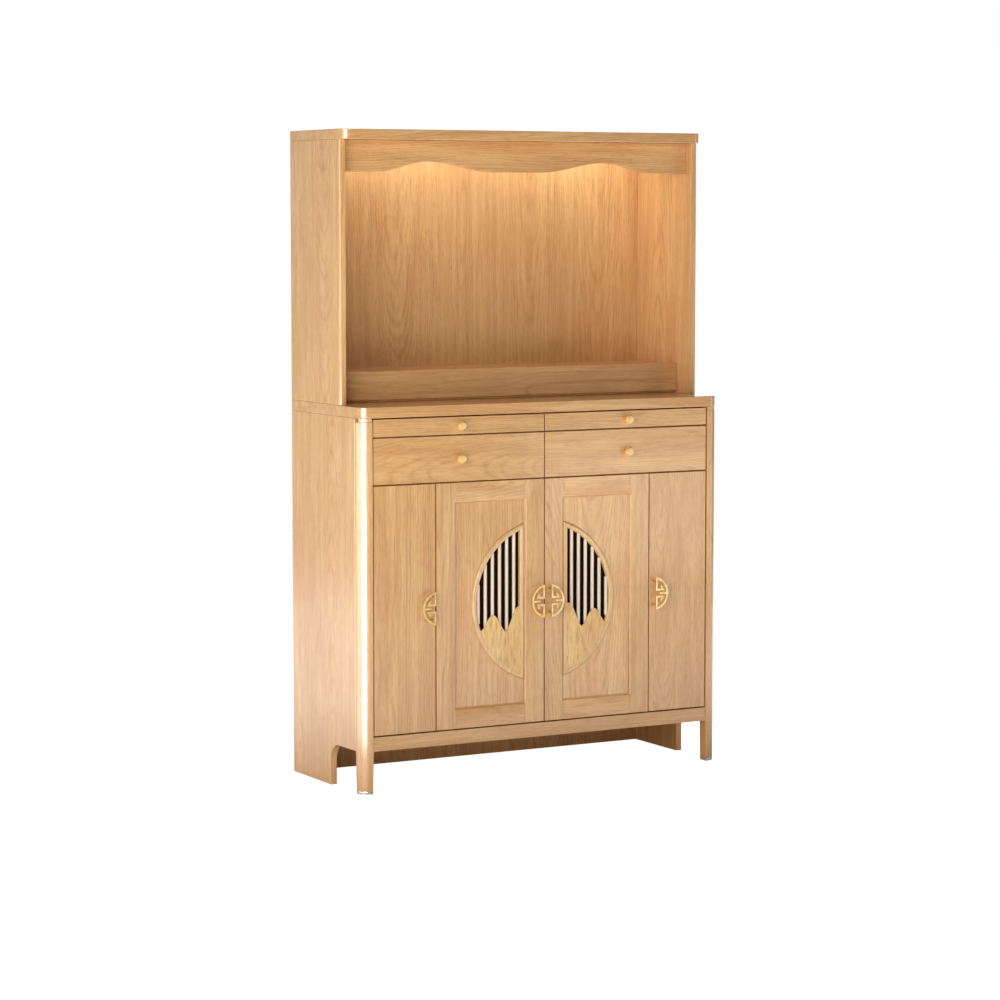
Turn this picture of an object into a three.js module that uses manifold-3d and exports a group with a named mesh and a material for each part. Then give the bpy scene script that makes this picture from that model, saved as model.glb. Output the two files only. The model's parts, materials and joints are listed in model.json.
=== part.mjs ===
// Household altar cabinet in light oak: a base with four drawers and four doors, and an
// open niche above it. Millimetres, +Z up, front towards -Y, origin on the floor under the
// middle of the cabinet.
import * as THREE from 'three';
import { mergeVertices } from 'three/addons/utils/BufferGeometryUtils.js';
import Module from 'manifold-3d';

const wasm = await Module();
wasm.setup();

// Overall sizes
const width = 1080;
const baseDepth = 405;
const nicheDepth = 290;

// Heights of the front, from the floor up
const legHeight = 111;
const railHeight = 38;
const doorZone = 645;
const deepDrawerZone = 122;
const slimDrawerZone = 50;
const counterThickness = 28;
const nicheSideHeight = 678;
const topThickness = 26;

// Carcase boards
const sideThickness = 18;
const backThickness = 12;
const shelfThickness = 18;
const dividerThickness = 18;
const dustBoardThickness = 9;
const nicheSideThickness = 19;

// Front corner posts, which run down as legs
const postWidth = 36;
const postDepth = 32;
const postRadius = 30;
const legTaper = 1.2;
const collarHeight = 10;
const collarInset = 1;
const collarNotch = 15;
const footCapHeight = 8;

// Cut-outs under the side panels and the front rail
const rearFootDepth = 226;
const sideArchRadius = 46;
const railBracketRadius = 6;
const railThickness = 20;

// Upper niche
const nicheEdgeRadius = 8;
const topOverhang = 22;
const topRadius = 24;
const valanceThickness = 18;
const valanceSetback = 27;
const valanceHeight = 81.5;
const valanceRise = 27;
const valanceEndFlat = 106;
const valancePeakFromEnd = 254;
const valanceMiddleFlat = 66;
const stepHeight = 81;
const stepDepth = 221;
const stepBoard = 18;

// Doors and drawer fronts
const frontThickness = 20;
const faceRecess = 2.5;
const reveal = 3.5;
const closingGap = 1;
const outerDoorWidth = 182;

// Framed inner doors
const stileWidth = 57.5;
const frameRailWidth = 54.5;
const frameLip = 6;
const frameRebate = 8;
const frameChamfer = 3;
const doorPanelThickness = 7;
const backingThickness = 3;

// Round lattice, one half of it on each inner door
const ringMargin = 48.5;
const ringBand = 14;
const ringBar = 12.5;
const ringSetback = 1;
const ringBevel = 2;
const slatWidth = 8.5;
const slatGap = 12.7;
const firstSlatGap = 11.2;
const slatSetback = 5.3;
const slatThickness = 6;
const mountainSetback = 2;

// Drawer boxes
const drawerWall = 12;
const drawerBottom = 6;
const drawerLength = 330;
const drawerSideClearance = 3;
const deepDrawerWallHeight = 90;
const slimDrawerWallHeight = 32;

// Half-round fretwork handles
const handleRadius = 43.5;
const handleFlatOffset = 5;
const handleFromEdge = 10;
const handleBar = 5;
const handlePlate = 4;
const handleStandoff = 16;
const handlePostRadius = 3;
const handlePostHeight = 31;
const handleMiddleGap = 14;
const handleHookRadius = 28;
const handleHookAngle = 43;
const handleStub = 18;

// Diamond knobs
const knobAcross = 26;
const knobBackAcross = 20;
const knobTableAcross = 14;
const knobFullness = 0.82;
const knobStemRadius = 5;
const knobStem = 8;
const knobGirdle = 12;
const knobProud = 20;

// Clearances
const jointGap = 0.3;
const slideGap = 0.5;

// Places worked out from the sizes above
const halfWidth = width / 2;
const frontY = -baseDepth;
const faceY = frontY + faceRecess;
const faceBackY = faceY + frontThickness;
const carcaseFrontY = faceBackY + closingGap;
const carcaseBackY = -backThickness - jointGap;
const sideInnerX = halfWidth - sideThickness;
const postInnerX = halfWidth - postWidth;
const postBackY = frontY + postDepth;
const cornerRadius = Math.min(postRadius, postDepth - 2 * collarInset);
const doorLineX = postInnerX - outerDoorWidth;
const railTopZ = legHeight + railHeight;
const doorTopZ = railTopZ + doorZone;
const deepDrawerTopZ = doorTopZ + deepDrawerZone;
const counterUnderZ = deepDrawerTopZ + slimDrawerZone;
const counterTopZ = counterUnderZ + counterThickness;
const doorMidZ = (railTopZ + doorTopZ) / 2;
const floorTopZ = railTopZ - reveal / 2;
const shelfUnderZ = doorTopZ - shelfThickness / 2;
const dustTopZ = deepDrawerTopZ + dustBoardThickness / 2;
const fittingsProud = Math.max(handleStandoff + handlePlate, knobProud) + jointGap;
const overallDepth = baseDepth - faceRecess + fittingsProud;

// Materials
const oak = new THREE.MeshStandardMaterial({ color: 0xdcb483, roughness: 0.5, metalness: 0 });
const drawerWood = new THREE.MeshStandardMaterial({ color: 0xd9bf97, roughness: 0.6, metalness: 0 });
const burlWood = new THREE.MeshStandardMaterial({ color: 0xe0b878, roughness: 0.5, metalness: 0 });
const darkLining = new THREE.MeshStandardMaterial({ color: 0x120a08, roughness: 0.9, metalness: 0 });
const brass = new THREE.MeshStandardMaterial({ color: 0xe8c878, roughness: 0.3, metalness: 1 });
const steel = new THREE.MeshStandardMaterial({ color: 0xd8d4cc, roughness: 0.25, metalness: 1 });

// Adds one named mesh at a place.
function add(parent, name, geometry, material, x = 0, y = 0, z = 0) {
  const mesh = new THREE.Mesh(geometry, material.clone());
  mesh.name = name;
  mesh.position.set(x, y, z);
  parent.add(mesh);
  return mesh;
}

// Adds a straight board that fills the given spans.
function addBoard(parent, name, material, [x0, x1], [y0, y1], [z0, z1]) {
  const geometry = new THREE.BoxGeometry(x1 - x0, y1 - y0, z1 - z0);
  return add(parent, name, geometry, material, (x0 + x1) / 2, (y0 + y1) / 2, (z0 + z1) / 2);
}

// The mirror image of a geometry across the YZ plane, with its faces still pointing out.
function mirrored(geometry) {
  const copy = geometry.index ? geometry.toNonIndexed() : geometry.clone();
  copy.scale(-1, 1, 1);
  for (const attribute of Object.values(copy.attributes)) {
    const size = attribute.itemSize;
    for (let corner = 0; corner < attribute.count; corner += 3) {
      for (let part = 0; part < size; part += 1) {
        const second = attribute.array[(corner + 1) * size + part];
        attribute.array[(corner + 1) * size + part] = attribute.array[(corner + 2) * size + part];
        attribute.array[(corner + 2) * size + part] = second;
      }
    }
  }
  return copy;
}

// Adds the right-hand piece as given and its mirror image on the left.
function addPair(parent, name, geometry, material, x = 0, y = 0, z = 0) {
  add(parent, `right_${name}`, geometry, material, x, y, z);
  add(parent, `left_${name}`, mirrored(geometry), material, -x, y, z);
}

function addBoardPair(parent, name, material, [x0, x1], [y0, y1], [z0, z1]) {
  const geometry = new THREE.BoxGeometry(x1 - x0, y1 - y0, z1 - z0);
  addPair(parent, name, geometry, material, (x0 + x1) / 2, (y0 + y1) / 2, (z0 + z1) / 2);
}

// An outline in plan, drawn in X and Y, made solid upwards from z = 0.
function planSolid(shape, height, curveSegments = 8) {
  return new THREE.ExtrudeGeometry(shape, { depth: height, bevelEnabled: false, curveSegments });
}

// An outline drawn in X and Z, made solid backwards from y = 0.
function frontSolid(shape, thickness, options = {}) {
  const settings = { depth: thickness, bevelEnabled: false, curveSegments: 16, ...options };
  return new THREE.ExtrudeGeometry(shape, settings).rotateX(Math.PI / 2).translate(0, thickness, 0);
}

// An outline drawn in Y and Z, made solid towards +X from x = 0.
function sideSolid(shape, thickness, curveSegments = 10) {
  const geometry = planSolid(shape, thickness, curveSegments);
  const toSide = new THREE.Matrix4().makeBasis(
    new THREE.Vector3(0, 1, 0),
    new THREE.Vector3(0, 0, 1),
    new THREE.Vector3(1, 0, 0),
  );
  return geometry.applyMatrix4(toSide);
}

function polygon(points) {
  return new THREE.Shape(points.map(([x, y]) => new THREE.Vector2(x, y)));
}

function rectangle(x0, x1, y0, y1) {
  return polygon([[x0, y0], [x1, y0], [x1, y1], [x0, y1]]);
}

// A closed solid through horizontal sections that share one count of corners. Each section
// is { z, points }, from the bottom up, with its points anticlockwise seen from above.
function loft(sections) {
  const positions = [];
  const count = sections[0].points.length;
  const corner = (section, index) => {
    const point = section.points[index % count];
    return [point.x, point.y, section.z];
  };
  for (let level = 0; level + 1 < sections.length; level += 1) {
    const [lower, upper] = [sections[level], sections[level + 1]];
    for (let i = 0; i < count; i += 1) {
      positions.push(...corner(lower, i), ...corner(lower, i + 1), ...corner(upper, i + 1));
      positions.push(...corner(lower, i), ...corner(upper, i + 1), ...corner(upper, i));
    }
  }
  const [first, last] = [sections[0], sections[sections.length - 1]];
  for (const [a, b, c] of THREE.ShapeUtils.triangulateShape(first.points, [])) {
    positions.push(...corner(first, a), ...corner(first, c), ...corner(first, b));
    positions.push(...corner(last, a), ...corner(last, b), ...corner(last, c));
  }
  const geometry = new THREE.BufferGeometry();
  geometry.setAttribute('position', new THREE.Float32BufferAttribute(positions, 3));
  geometry.computeVertexNormals();
  return geometry;
}

// Boolean work: a geometry becomes a solid, and a solid becomes a geometry again.
function solid(geometry) {
  const bare = new THREE.BufferGeometry();
  bare.setAttribute('position', geometry.getAttribute('position').clone());
  if (geometry.index) bare.setIndex(geometry.index.clone());
  const merged = mergeVertices(bare, 1e-4);
  const mesh = new wasm.Mesh({
    numProp: 3,
    vertProperties: new Float32Array(merged.getAttribute('position').array),
    triVerts: new Uint32Array(merged.index.array),
  });
  return new wasm.Manifold(mesh);
}

function geometryOf(manifold) {
  const mesh = manifold.getMesh();
  const geometry = new THREE.BufferGeometry();
  geometry.setAttribute('position', new THREE.Float32BufferAttribute(mesh.vertProperties, 3));
  geometry.setIndex(new THREE.Uint32BufferAttribute(mesh.triVerts, 1));
  geometry.computeVertexNormals();
  return geometry;
}

function joined(geometries) {
  return geometries.map(solid).reduce((whole, piece) => whole.add(piece));
}

// A block between two corners, for cuts and joins.
function block([x0, x1], [y0, y1], [z0, z1]) {
  const geometry = new THREE.BoxGeometry(x1 - x0, y1 - y0, z1 - z0);
  return geometry.translate((x0 + x1) / 2, (y0 + y1) / 2, (z0 + z1) / 2);
}

// A board seen in plan with both front corners rounded.
function roundFrontShape(half, front, back, radius) {
  const shape = new THREE.Shape();
  shape.moveTo(half, back);
  shape.lineTo(-half, back);
  shape.lineTo(-half, front + radius);
  shape.absarc(-half + radius, front + radius, radius, Math.PI, 1.5 * Math.PI);
  shape.absarc(half - radius, front + radius, radius, 1.5 * Math.PI, 2 * Math.PI);
  return shape;
}

// The plan of a post or an end board whose outer front edge alone is rounded.
function roundEdgeShape(inner, outer, front, back, radius) {
  const shape = new THREE.Shape();
  shape.moveTo(inner, back);
  shape.lineTo(inner, front);
  shape.lineTo(outer - radius, front);
  shape.absarc(outer - radius, front + radius, radius, 1.5 * Math.PI, 2 * Math.PI);
  shape.lineTo(outer, back);
  return shape;
}

// Post plan around its own middle, with its width and depth scaled.
function postOutline(scaleX, scaleY, inset = 0) {
  const shape = roundEdgeShape(
    -postWidth / 2 + inset,
    postWidth / 2 - inset,
    -postDepth / 2 + inset,
    postDepth / 2 - inset,
    cornerRadius - inset,
  );
  const points = shape.extractPoints(8).shape;
  return points.map((point) => new THREE.Vector2(point.x * scaleX, point.y * scaleY));
}

// Plan of the collar: the front of the post's plan, open behind as a small notch.
function collarShape() {
  const radius = cornerRadius - collarInset;
  const inner = -postWidth / 2 + collarInset;
  const front = -postDepth / 2 + collarInset;
  const back = postDepth / 2 - collarNotch;
  const middleX = postWidth / 2 - cornerRadius;
  const middleY = front + radius;
  const shape = new THREE.Shape();
  shape.moveTo(inner, back);
  shape.lineTo(inner, front);
  shape.lineTo(middleX, front);
  const end = 2 * Math.PI + Math.asin((back - middleY) / radius);
  shape.absarc(middleX, middleY, radius, 1.5 * Math.PI, end);
  return shape;
}

const postMidX = halfWidth - postWidth / 2;
const postMidY = frontY + postDepth / 2;
const postTopZ = counterUnderZ - collarHeight;

function taperAt(z) {
  const share = Math.max(0, (legHeight - z) / legHeight);
  return [1 - (2 * legTaper * share) / postWidth, 1 - (2 * legTaper * share) / postDepth];
}

function postSection(z, inset = 0) {
  return { z, points: postOutline(...taperAt(z), inset) };
}

function addPosts(parent) {
  const post = loft([
    postSection(footCapHeight + jointGap),
    postSection(legHeight),
    postSection(postTopZ),
  ]);
  addPair(parent, 'front_post', post, oak, postMidX, postMidY);
  const collar = planSolid(collarShape(), collarHeight - 2 * jointGap);
  addPair(parent, 'post_collar', collar, oak, postMidX, postMidY, postTopZ + jointGap);
  const cap = loft([postSection(0, 1), postSection(1), postSection(footCapHeight)]);
  addPair(parent, 'foot_cap', cap, steel, postMidX, postMidY);
}

// Side panel: it stands on a broad rear foot and is cut away in an arch before the leg.
function addSidePanels(parent) {
  const front = postBackY + jointGap;
  const shape = new THREE.Shape();
  shape.moveTo(0, 0);
  shape.lineTo(0, counterUnderZ - jointGap);
  shape.lineTo(front, counterUnderZ - jointGap);
  shape.lineTo(front, legHeight);
  const archY = -rearFootDepth - sideArchRadius;
  shape.absarc(archY, legHeight - sideArchRadius, sideArchRadius, Math.PI / 2, 0, true);
  shape.lineTo(-rearFootDepth, 0);
  const panel = sideSolid(shape, sideThickness);
  addPair(parent, 'side_panel', panel, oak, sideInnerX);
}

// Front rail between the legs, with its lower corners rounded into them.
function addFrontRail(parent) {
  const half = postInnerX - jointGap;
  const radius = railBracketRadius;
  const curveX = half - radius;
  const curveZ = legHeight - radius;
  const shape = new THREE.Shape();
  shape.moveTo(-half, floorTopZ);
  shape.lineTo(-half, curveZ);
  shape.absarc(-curveX, curveZ, radius, Math.PI, Math.PI / 2, true);
  shape.absarc(curveX, curveZ, radius, Math.PI / 2, 0, true);
  shape.lineTo(half, floorTopZ);
  add(parent, 'front_rail', frontSolid(shape, railThickness, { curveSegments: 6 }), oak, 0, faceY);
}

// Plan of a board that lies between the side panels and is notched round the posts.
function notchedShape(left, right, front) {
  const corners = [[left.inner, front], [right.inner, front]];
  if (right.side > right.inner) {
    corners.push([right.inner, postBackY + jointGap], [right.side, postBackY + jointGap]);
  }
  corners.push([right.side, carcaseBackY], [left.side, carcaseBackY]);
  if (left.side < left.inner) {
    corners.push([left.side, postBackY + jointGap], [left.inner, postBackY + jointGap]);
  }
  return polygon(corners);
}

const rightEnd = { inner: postInnerX - jointGap, side: sideInnerX - jointGap };
const leftEnd = { inner: -rightEnd.inner, side: -rightEnd.side };

function addInsideBoards(parent) {
  const floorFront = faceY + railThickness + jointGap;
  const floor = planSolid(notchedShape(leftEnd, rightEnd, floorFront), shelfThickness);
  add(parent, 'cabinet_floor', floor, oak, 0, 0, floorTopZ - shelfThickness);

  const shelf = planSolid(notchedShape(leftEnd, rightEnd, carcaseFrontY), shelfThickness);
  add(parent, 'drawer_shelf', shelf, oak, 0, 0, shelfUnderZ);

  const middle = dividerThickness / 2 + jointGap;
  const dustShape = notchedShape({ inner: middle, side: middle }, rightEnd, carcaseFrontY);
  const dustBoard = planSolid(dustShape, dustBoardThickness);
  addPair(parent, 'dust_board', dustBoard, drawerWood, 0, 0, dustTopZ - dustBoardThickness);

  const depthSpan = [carcaseFrontY, carcaseBackY];
  const doorwaySpan = [floorTopZ + jointGap, shelfUnderZ - jointGap];
  const dividerSpan = [doorLineX - dividerThickness / 2, doorLineX + dividerThickness / 2];
  addBoardPair(parent, 'divider', oak, dividerSpan, depthSpan, doorwaySpan);

  const middleSpan = [-dividerThickness / 2, dividerThickness / 2];
  const drawerSpan = [shelfUnderZ + shelfThickness + jointGap, counterUnderZ - jointGap];
  addBoard(parent, 'drawer_divider', oak, middleSpan, depthSpan, drawerSpan);

  const backHalf = sideInnerX - jointGap;
  const backSpan = [0, counterUnderZ - jointGap];
  addBoard(parent, 'base_back', oak, [-backHalf, backHalf], [-backThickness, 0], backSpan);
}

function addCountertop(parent) {
  const shape = roundFrontShape(halfWidth, frontY, 0, cornerRadius);
  add(parent, 'countertop', planSolid(shape, counterThickness), oak, 0, 0, counterUnderZ);
}

// Height of the valance's lower edge above its low ends, at a distance from the middle.
function valanceLift(x) {
  const end = halfWidth - nicheSideThickness;
  const outerFoot = end - valanceEndFlat;
  const peak = end - valancePeakFromEnd;
  const along = Math.abs(x);
  if (along >= outerFoot || along <= valanceMiddleFlat) return 0;
  const run = along > peak
    ? (outerFoot - along) / (outerFoot - peak)
    : (along - valanceMiddleFlat) / (peak - valanceMiddleFlat);
  return valanceRise * (0.5 - 0.5 * Math.cos(Math.PI * run));
}

function valanceShape(half, top) {
  const steps = 80;
  const points = [[half, top], [-half, top]];
  for (let i = 0; i <= steps; i += 1) {
    const x = -half + (2 * half * i) / steps;
    points.push([x, top - valanceHeight + valanceLift(x)]);
  }
  return polygon(points);
}

// The open niche, standing on the countertop: z = 0 is the counter's top face.
function addNiche(parent) {
  const top = nicheSideHeight - jointGap;
  const sideShape = roundEdgeShape(
    halfWidth - nicheSideThickness,
    halfWidth,
    -nicheDepth,
    0,
    nicheEdgeRadius,
  );
  const side = planSolid(sideShape, top - jointGap, 5);
  addPair(parent, 'niche_side', side, oak, 0, 0, jointGap);

  const half = halfWidth - nicheSideThickness - jointGap;
  const backSpan = [-backThickness, 0];
  addBoard(parent, 'niche_back', oak, [-half, half], backSpan, [jointGap, top]);

  const topShape = roundFrontShape(halfWidth, -nicheDepth - topOverhang, 0, topRadius);
  add(parent, 'niche_top', planSolid(topShape, topThickness, 6), oak, 0, 0, nicheSideHeight);

  const valance = frontSolid(valanceShape(half, top), valanceThickness);
  add(parent, 'valance', valance, oak, 0, -nicheDepth + valanceSetback);

  const stepFront = [-stepDepth, -stepDepth + stepBoard];
  addBoard(parent, 'step_front', oak, [-half, half], stepFront, [jointGap, stepHeight]);
  const stepTop = [-stepDepth + stepBoard + jointGap, carcaseBackY];
  addBoard(parent, 'step_top', oak, [-half, half], stepTop, [stepHeight - stepBoard, stepHeight]);
}

// One knob, a full diamond turned corner-up, standing out towards -Y from y = 0.
function knobGeometry() {
  const diamond = (z, across) => {
    const points = [];
    for (let i = 0; i < 8; i += 1) {
      const reach = (across / 2) * (i % 2 ? knobFullness : 1);
      const angle = (i * Math.PI) / 4;
      points.push(new THREE.Vector2(reach * Math.cos(angle), reach * Math.sin(angle)));
    }
    return { z, points };
  };
  const head = loft([
    diamond(knobStem, knobBackAcross),
    diamond(knobGirdle, knobAcross),
    diamond(knobProud, knobTableAcross),
  ]);
  const stemLength = knobStem + 1;
  const stem = new THREE.CylinderGeometry(knobStemRadius, knobStemRadius, stemLength, 16);
  stem.rotateX(Math.PI / 2).translate(0, 0, stemLength / 2);
  return geometryOf(joined([head, stem])).rotateX(Math.PI / 2);
}

// One half-round handle. Its circle's middle is x = 0, the flat side is towards -X, and it
// stands out towards -Y from y = 0.
function handleGeometry() {
  const inner = handleRadius - handleBar;
  const flat = handleFlatOffset;
  const outline = segmentShape(handleRadius, flat);
  outline.holes.push(segmentShape(inner, flat + handleBar));
  const rim = solid(frontSolid(outline, handlePlate, { curveSegments: 20 }));
  const gapSpan = [-handleMiddleGap / 2, handleMiddleGap / 2];
  const gap = block([0, flat + handleBar + 1], [-1, handlePlate + 1], gapSpan);

  const plateSpan = [0, handlePlate];
  const stub = block([handleStub, inner + 1], plateSpan, [-handleBar / 2, handleBar / 2]);
  let plate = rim.subtract(solid(gap)).add(solid(stub));
  for (const side of [-1, 1]) {
    plate = plate.add(solid(hookGeometry(side)));
  }

  plate = plate.translate([0, -handleStandoff - handlePlate, 0]);
  const postLength = handleStandoff + handlePlate / 2;
  for (const side of [-1, 1]) {
    const post = new THREE.CylinderGeometry(handlePostRadius, handlePostRadius, postLength, 8);
    post.translate(flat + handlePostRadius, -postLength / 2, side * handlePostHeight);
    plate = plate.add(solid(post));
  }
  return geometryOf(plate);
}

// The part of a disc beyond x = flat, drawn in X and Z around the disc's middle.
function segmentShape(radius, flat) {
  const angle = Math.acos(flat / radius);
  const shape = new THREE.Shape();
  shape.absarc(0, 0, radius, -angle, angle);
  shape.closePath();
  return shape;
}

// Inner fret of a handle: in from the flat side, then back along the rim.
function hookGeometry(side) {
  const near = handleMiddleGap / 2;
  const outer = handleHookRadius + handleBar / 2;
  const inner = handleHookRadius - handleBar / 2;
  const start = Math.asin(near / outer);
  const end = THREE.MathUtils.degToRad(handleHookAngle);
  const shape = new THREE.Shape();
  shape.moveTo(handleFlatOffset, near);
  shape.lineTo(outer * Math.cos(start), near);
  shape.absarc(0, 0, outer, start, end);
  shape.absarc(0, 0, inner, end, Math.asin((near + handleBar) / inner), true);
  shape.lineTo(handleFlatOffset, near + handleBar);
  const hook = frontSolid(shape, handlePlate, { curveSegments: 5 });
  return side > 0 ? hook : flippedUpsideDown(hook);
}

function flippedUpsideDown(geometry) {
  return mirrored(geometry.rotateY(Math.PI));
}

const handleMidX = handleFromEdge - handleFlatOffset;

// Doors: x = 0 is the cabinet's middle, y = 0 the door faces, z = 0 their mid-height.
function addOuterDoors(parent) {
  const half = (doorZone - reveal) / 2;
  const span = [doorLineX + reveal / 2, postInnerX - reveal];
  addBoardPair(parent, 'outer_door', oak, span, [0, frontThickness], [-half, half]);
  addPair(parent, 'outer_handle', handleGeometry(), brass, doorLineX + handleMidX, -jointGap);
}

const innerDoor = {
  left: reveal / 2,
  right: doorLineX - reveal / 2,
  half: (doorZone - reveal) / 2,
};
const opening = {
  left: innerDoor.left + stileWidth,
  right: innerDoor.right - stileWidth,
  half: innerDoor.half - frameRailWidth,
};
const ringRadius = Math.min(opening.right, opening.half) - ringMargin;
const ringFlat = opening.left + jointGap;
const ringInner = ringRadius - ringBand;
const barEdge = ringFlat + ringBar;

// The frame's opening as one cutter: chamfered at the front, rebated behind for the panel.
function openingCutter() {
  const rim = (grow, y) => ({
    z: y,
    points: rectangle(
      opening.left - grow,
      opening.right + grow,
      -opening.half - grow,
      opening.half + grow,
    ).extractPoints(1).shape,
  });
  const slope = loft([rim(0, -frameChamfer), rim(frameChamfer, 0), rim(frameChamfer, 1)]);
  const rebate = block(
    [opening.left - frameRebate, opening.right + frameRebate],
    [-opening.half - frameRebate, opening.half + frameRebate],
    [-frontThickness - 1, -frameLip],
  );
  return solid(slope.rotateX(Math.PI / 2)).add(solid(rebate.rotateX(Math.PI / 2)));
}

function addInnerDoorFrames(parent) {
  const cutter = openingCutter();
  const depthSpan = [0, frontThickness];
  const cutBoard = (spanX, spanZ) => geometryOf(solid(block(spanX, depthSpan, spanZ)).subtract(cutter));
  const tall = [-innerDoor.half, innerDoor.half];
  const across = [opening.left + jointGap, opening.right - jointGap];
  addPair(parent, 'door_meeting_stile', cutBoard([innerDoor.left, opening.left], tall), oak);
  addPair(parent, 'door_hinge_stile', cutBoard([opening.right, innerDoor.right], tall), oak);
  addPair(parent, 'door_top_rail', cutBoard(across, [opening.half, innerDoor.half]), oak);
  addPair(parent, 'door_bottom_rail', cutBoard(across, [-innerDoor.half, -opening.half]), oak);
}

// Recessed panel with a bite for the half-round lattice, and a dark lining behind both.
function addInnerDoorPanels(parent) {
  const left = opening.left - frameRebate + jointGap;
  const right = opening.right + frameRebate - jointGap;
  const half = opening.half + frameRebate - jointGap;
  const bite = ringRadius + jointGap;
  const biteAngle = Math.acos(left / bite);
  const shape = new THREE.Shape();
  shape.moveTo(right, -half);
  shape.lineTo(right, half);
  shape.lineTo(left, half);
  shape.absarc(0, 0, bite, biteAngle, -biteAngle, true);
  shape.lineTo(left, -half);
  const panel = frontSolid(shape, doorPanelThickness, { curveSegments: 40 });
  const panelY = frameLip + jointGap;
  addPair(parent, 'door_panel', panel, oak, 0, panelY);

  const liningY = panelY + doorPanelThickness + jointGap;
  const liningSpan = [liningY, liningY + backingThickness];
  addBoardPair(parent, 'door_lining', darkLining, [left, right], liningSpan, [-half, half]);
}

// Half ring with its flat bar and the upright slats, as one lattice.
function latticeGeometry() {
  const back = frameLip + jointGap + doorPanelThickness;
  const outline = segmentShape(ringRadius, ringFlat);
  outline.holes.push(segmentShape(ringInner, barEdge));
  const ring = frontSolid(outline, back - ringSetback - 2 * ringBevel, {
    curveSegments: 40,
    bevelEnabled: true,
    bevelThickness: ringBevel,
    bevelSize: ringBevel,
    bevelOffset: -ringBevel,
    bevelSegments: 1,
  });
  ring.translate(0, ringSetback + ringBevel, 0);

  const reach = segmentShape(ringRadius - ringBand / 2, ringFlat);
  const disc = frontSolid(reach, back, { curveSegments: 40 });
  const slatSpan = [slatSetback, slatSetback + slatThickness];
  const slats = [];
  for (let x = barEdge + firstSlatGap; x + slatWidth < ringInner; x += slatWidth + slatGap) {
    slats.push(block([x, x + slatWidth], slatSpan, [-ringRadius, ringRadius]));
  }
  return geometryOf(solid(ring).add(joined(slats).intersect(solid(disc))));
}

// Outline of the two hills, as shares of the ring's radius: along, height.
const hills = [[0.35, -0.053], [0.537, -0.352], [0.715, -0.142], [0.874, -0.32], [0.96, -0.26]];
const hillRoundness = 1.6;

function hillHeight(x) {
  const along = x / ringRadius;
  const next = Math.max(1, hills.findIndex(([place]) => place > along));
  const [a, b] = [hills[next - 1], hills[next]];
  const [low, high] = a[1] < b[1] ? [a, b] : [b, a];
  const share = THREE.MathUtils.clamp((along - low[0]) / (high[0] - low[0]), 0, 1);
  const lift = Math.sin((share * Math.PI) / 2) ** hillRoundness;
  return ringRadius * (low[1] + (high[1] - low[1]) * lift);
}

// Low panel shaped like two hills, laid over the foot of the slats inside the ring.
function mountainGeometry() {
  const left = barEdge + jointGap;
  const radius = ringInner - jointGap;
  const steps = 40;
  const points = [];
  for (let i = 0; i <= steps; i += 1) {
    const x = left + ((radius - left) * i) / steps;
    const z = hillHeight(x);
    if (Math.hypot(x, z) > radius) break;
    points.push([x, z]);
  }
  const [lastX, lastZ] = points[points.length - 1];
  const shape = polygon(points);
  const endAngle = -Math.acos(left / radius);
  shape.absarc(0, 0, radius, Math.atan2(lastZ, lastX) - 0.02, endAngle, true);
  const thickness = slatSetback - jointGap - mountainSetback;
  return frontSolid(shape, thickness, { curveSegments: 24 });
}

function addLattices(parent) {
  addPair(parent, 'moon_lattice', latticeGeometry(), oak);
  addPair(parent, 'mountain_panel', mountainGeometry(), burlWood, 0, mountainSetback);
  addPair(parent, 'inner_handle', handleGeometry(), brass, handleMidX, -jointGap);
}

// Drawers: a front board, a box behind it and a knob, for one height band.
function addDrawers(parent, prefix, bandLow, bandHigh, bedZ, wallHeight) {
  const left = reveal / 2;
  const right = postInnerX - reveal;
  const frontSpan = [bandLow + reveal / 2, bandHigh - reveal / 2];
  addBoardPair(parent, `${prefix}_drawer_front`, oak, [left, right], [0, frontThickness], frontSpan);

  const boxLeft = dividerThickness / 2 + drawerSideClearance;
  const boxRight = postInnerX - drawerSideClearance;
  const boxFront = frontThickness + jointGap;
  const boxBack = boxFront + drawerLength;
  const floorZ = bedZ + slideGap;
  const outer = block([boxLeft, boxRight], [boxFront, boxBack], [floorZ, floorZ + wallHeight]);
  const inner = block(
    [boxLeft + drawerWall, boxRight - drawerWall],
    [boxFront + drawerWall, boxBack - drawerWall],
    [floorZ + drawerBottom, floorZ + wallHeight + 1],
  );
  const box = geometryOf(solid(outer).subtract(solid(inner)));
  addPair(parent, `${prefix}_drawer_box`, box, drawerWood);

  const knobX = postInnerX / 2;
  const knobZ = (bandLow + bandHigh) / 2;
  addPair(parent, `${prefix}_drawer_knob`, knobGeometry(), brass, knobX, -jointGap, knobZ);
}

const cabinet = new THREE.Group();
cabinet.position.y = overallDepth / 2;

const base = new THREE.Group();
addPosts(base);
addSidePanels(base);
addFrontRail(base);
addInsideBoards(base);
addCountertop(base);
cabinet.add(base);

const niche = new THREE.Group();
niche.position.z = counterTopZ;
addNiche(niche);
cabinet.add(niche);

const doors = new THREE.Group();
doors.position.set(0, faceY, doorMidZ);
addOuterDoors(doors);
addInnerDoorFrames(doors);
addInnerDoorPanels(doors);
addLattices(doors);
cabinet.add(doors);

const drawers = new THREE.Group();
drawers.position.y = faceY;
const deepBedZ = shelfUnderZ + shelfThickness;
addDrawers(drawers, 'deep', doorTopZ, deepDrawerTopZ, deepBedZ, deepDrawerWallHeight);
const slimTopZ = counterUnderZ - reveal / 2;
addDrawers(drawers, 'slim', deepDrawerTopZ, slimTopZ, dustTopZ, slimDrawerWallHeight);
cabinet.add(drawers);

export default cabinet;
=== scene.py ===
import json
import math
import random

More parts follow.
